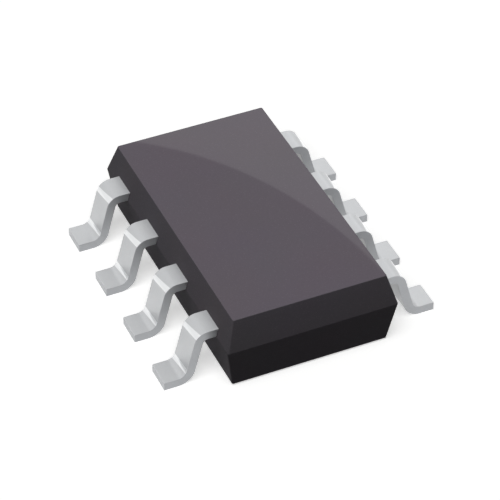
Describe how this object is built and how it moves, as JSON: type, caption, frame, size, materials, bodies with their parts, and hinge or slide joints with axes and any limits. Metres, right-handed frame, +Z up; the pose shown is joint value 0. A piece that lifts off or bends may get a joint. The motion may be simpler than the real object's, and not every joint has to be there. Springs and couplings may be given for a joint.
{
  "type": "temperature sensor chip",
  "caption": "Surface-mount temperature sensor: a small drafted plastic body with a row of gull-wing leads along each long side, for soldering on a circuit board.",
  "frame": {"origin": "centre of the seating plane that the eight feet stand on", "axes": "+Z up out of the flat top, +Y along the body, X across it, out along the leads"},
  "size_m": [0.0026, 0.0028, 0.0007],
  "materials": {
    "mould_compound": "black epoxy moulding compound, fine satin grain from the mould",
    "tinned_leads": "matte tin plating on a stamped copper alloy sheet",
    "die_adhesive": "cured silver-filled epoxy, dull grey",
    "silicon": "polished dark grey silicon",
    "gold_wire": "drawn gold wire, bright"
  },
  "bodies": {
    "root": {"mould_body": "mould_compound", "lead_1": "tinned_leads", "lead_2": "tinned_leads", "lead_3": "tinned_leads", "lead_4": "tinned_leads", "lead_5": "tinned_leads", "lead_6": "tinned_leads", "lead_7": "tinned_leads", "lead_8": "tinned_leads", "die_attach": "die_adhesive", "sensor_die": "silicon", "bond_wire_1": "gold_wire", "bond_wire_2": "gold_wire", "bond_wire_3": "gold_wire", "bond_wire_4": "gold_wire", "bond_wire_5": "gold_wire", "bond_wire_6": "gold_wire", "bond_wire_7": "gold_wire", "bond_wire_8": "gold_wire"}
  },
  "joints": []
}
